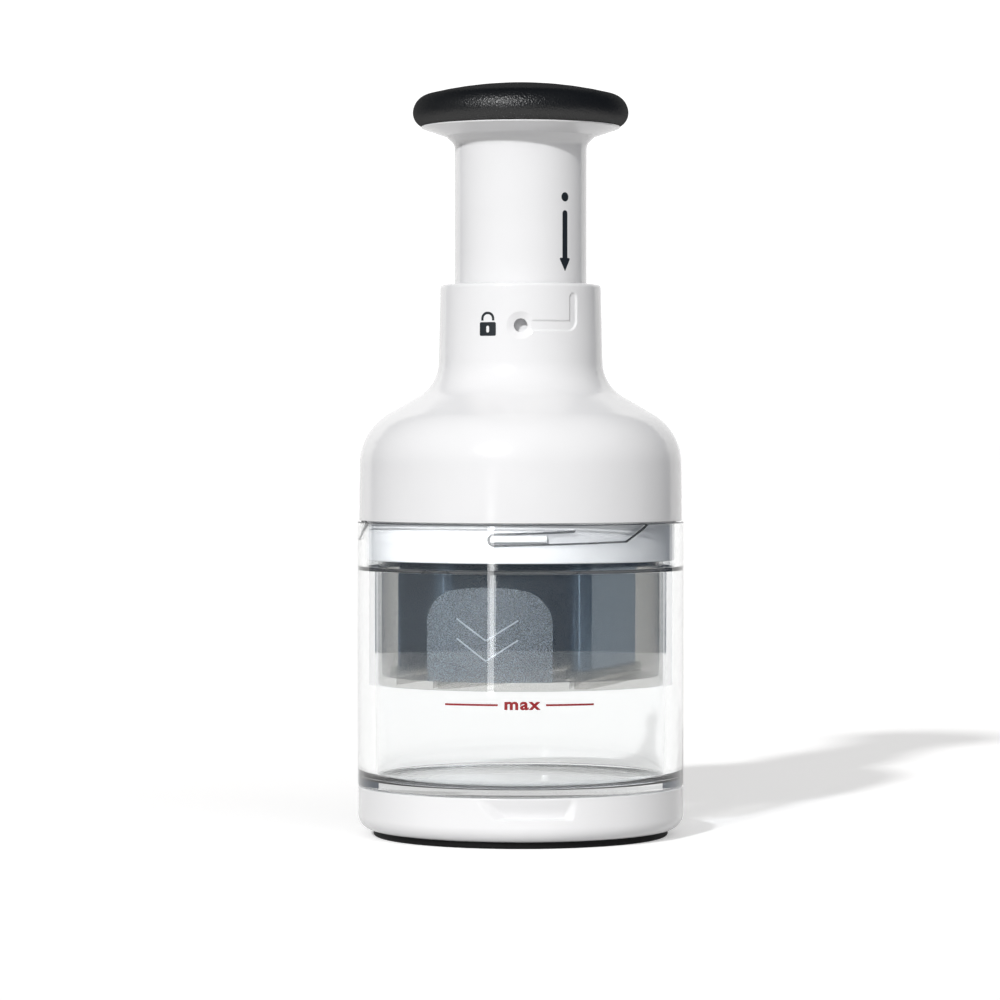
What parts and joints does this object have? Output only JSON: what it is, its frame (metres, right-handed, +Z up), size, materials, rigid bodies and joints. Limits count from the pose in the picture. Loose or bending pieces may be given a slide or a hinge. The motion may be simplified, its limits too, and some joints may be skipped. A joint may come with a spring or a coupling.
{
  "type": "plunger food chopper",
  "caption": "Press-down food chopper: a soft round knob drives a zigzag blade through a turning shroud into a clear bayonet-locked cup that stands on a pull-off base cap.",
  "frame": {"origin": "centre of the foot's underside, on the table", "axes": "+Z up along the plunger's axis; -Y is the front, where the indicator hole and the finger scoop are; +X to the right"},
  "size_m": [0.0966, 0.0964, 0.2222],
  "materials": {
    "white_gloss": "gloss white ABS",
    "white_satin": "satin white ABS",
    "black_rubber": "matt black rubber",
    "black_grip": "fine-grained soft black elastomer",
    "clear_cup": "clear polished SAN",
    "smoke_shroud": "translucent blue-grey polypropylene",
    "blade_steel": "cold-rolled stainless strip",
    "grey_plastic": "blue-grey moulded plastic",
    "acetal": "natural acetal",
    "shaft_steel": "turned stainless bar",
    "spring_steel": "drawn spring wire",
    "screw_steel": "zinc-plated steel"
  },
  "bodies": {
    "base": {"base_cap": "white_gloss", "foot_ring": "black_rubber"},
    "cup": {"cup": "clear_cup"},
    "housing": {"housing_shell": "white_gloss", "neck_guide": "white_satin", "bayonet_ring": "white_satin", "chassis": "white_satin", "chassis_screws": "screw_steel", "return_spring": "spring_steel"},
    "slider": {"drive_sleeve": "acetal", "spring_seat": "white_satin", "shoulder_screw": "screw_steel", "index_spring": "spring_steel"},
    "thrust": {"thrust_washer": "acetal"},
    "blades": {"spindle": "shaft_steel", "index_pin": "shaft_steel", "blade_carrier": "grey_plastic", "blade_clamp": "grey_plastic", "clamp_screws": "screw_steel", "spindle_screws": "screw_steel", "blade": "blade_steel"},
    "shroud_hanger": {"shroud_ring": "smoke_shroud"},
    "shroud": {"shroud": "smoke_shroud"},
    "knob": {"plunger_tube": "white_gloss", "knob_core": "white_satin", "grip_pad": "black_grip"}
  },
  "joints": [
    {"name": "base_lift", "type": "slide", "parent": "base", "child": "cup", "axis": [0, 0, 1], "range_m": [0, 0.02]},
    {"name": "cup_twist", "type": "hinge", "parent": "cup", "child": "housing", "pos_m": [0, 0, 0.09], "axis": [0, 0, 1], "range_deg": [0, 31]},
    {"name": "plunger_slide", "type": "slide", "parent": "housing", "child": "slider", "axis": [0, 0, 1], "range_m": [-0.038, 0], "stiffness_N_per_m": 350, "springref_m": 0.03, "deforming": ["return_spring"]},
    {"name": "knob_twist", "type": "hinge", "parent": "slider", "child": "knob", "pos_m": [0, 0, 0.2], "axis": [0, 0, 1], "range_deg": [-42, 0]},
    {"name": "thrust_slide", "type": "slide", "parent": "slider", "child": "thrust", "axis": [0, 0, 1], "range_m": [0, 0.0065], "deforming": ["index_spring"]},
    {"name": "blade_turn", "type": "hinge", "parent": "thrust", "child": "blades", "pos_m": [0, 0, 0.09], "axis": [0, 0, 1], "range_deg": [0, 30]},
    {"name": "shroud_turn", "type": "hinge", "parent": "housing", "child": "shroud_hanger", "pos_m": [0, 0, 0.088], "axis": [0, 0, 1], "range_deg": [0, 30]},
    {"name": "shroud_pull", "type": "slide", "parent": "shroud_hanger", "child": "shroud", "axis": [0, 0, 1], "range_m": [-0.02, 0]}
  ],
  "couplings": [
    {"joint": "thrust_slide", "follows": "plunger_slide", "ratio": -0.17105},
    {"joint": "blade_turn", "follows": "plunger_slide", "rad_per_m": -13.778},
    {"joint": "shroud_turn", "follows": "plunger_slide", "rad_per_m": -13.778}
  ]
}
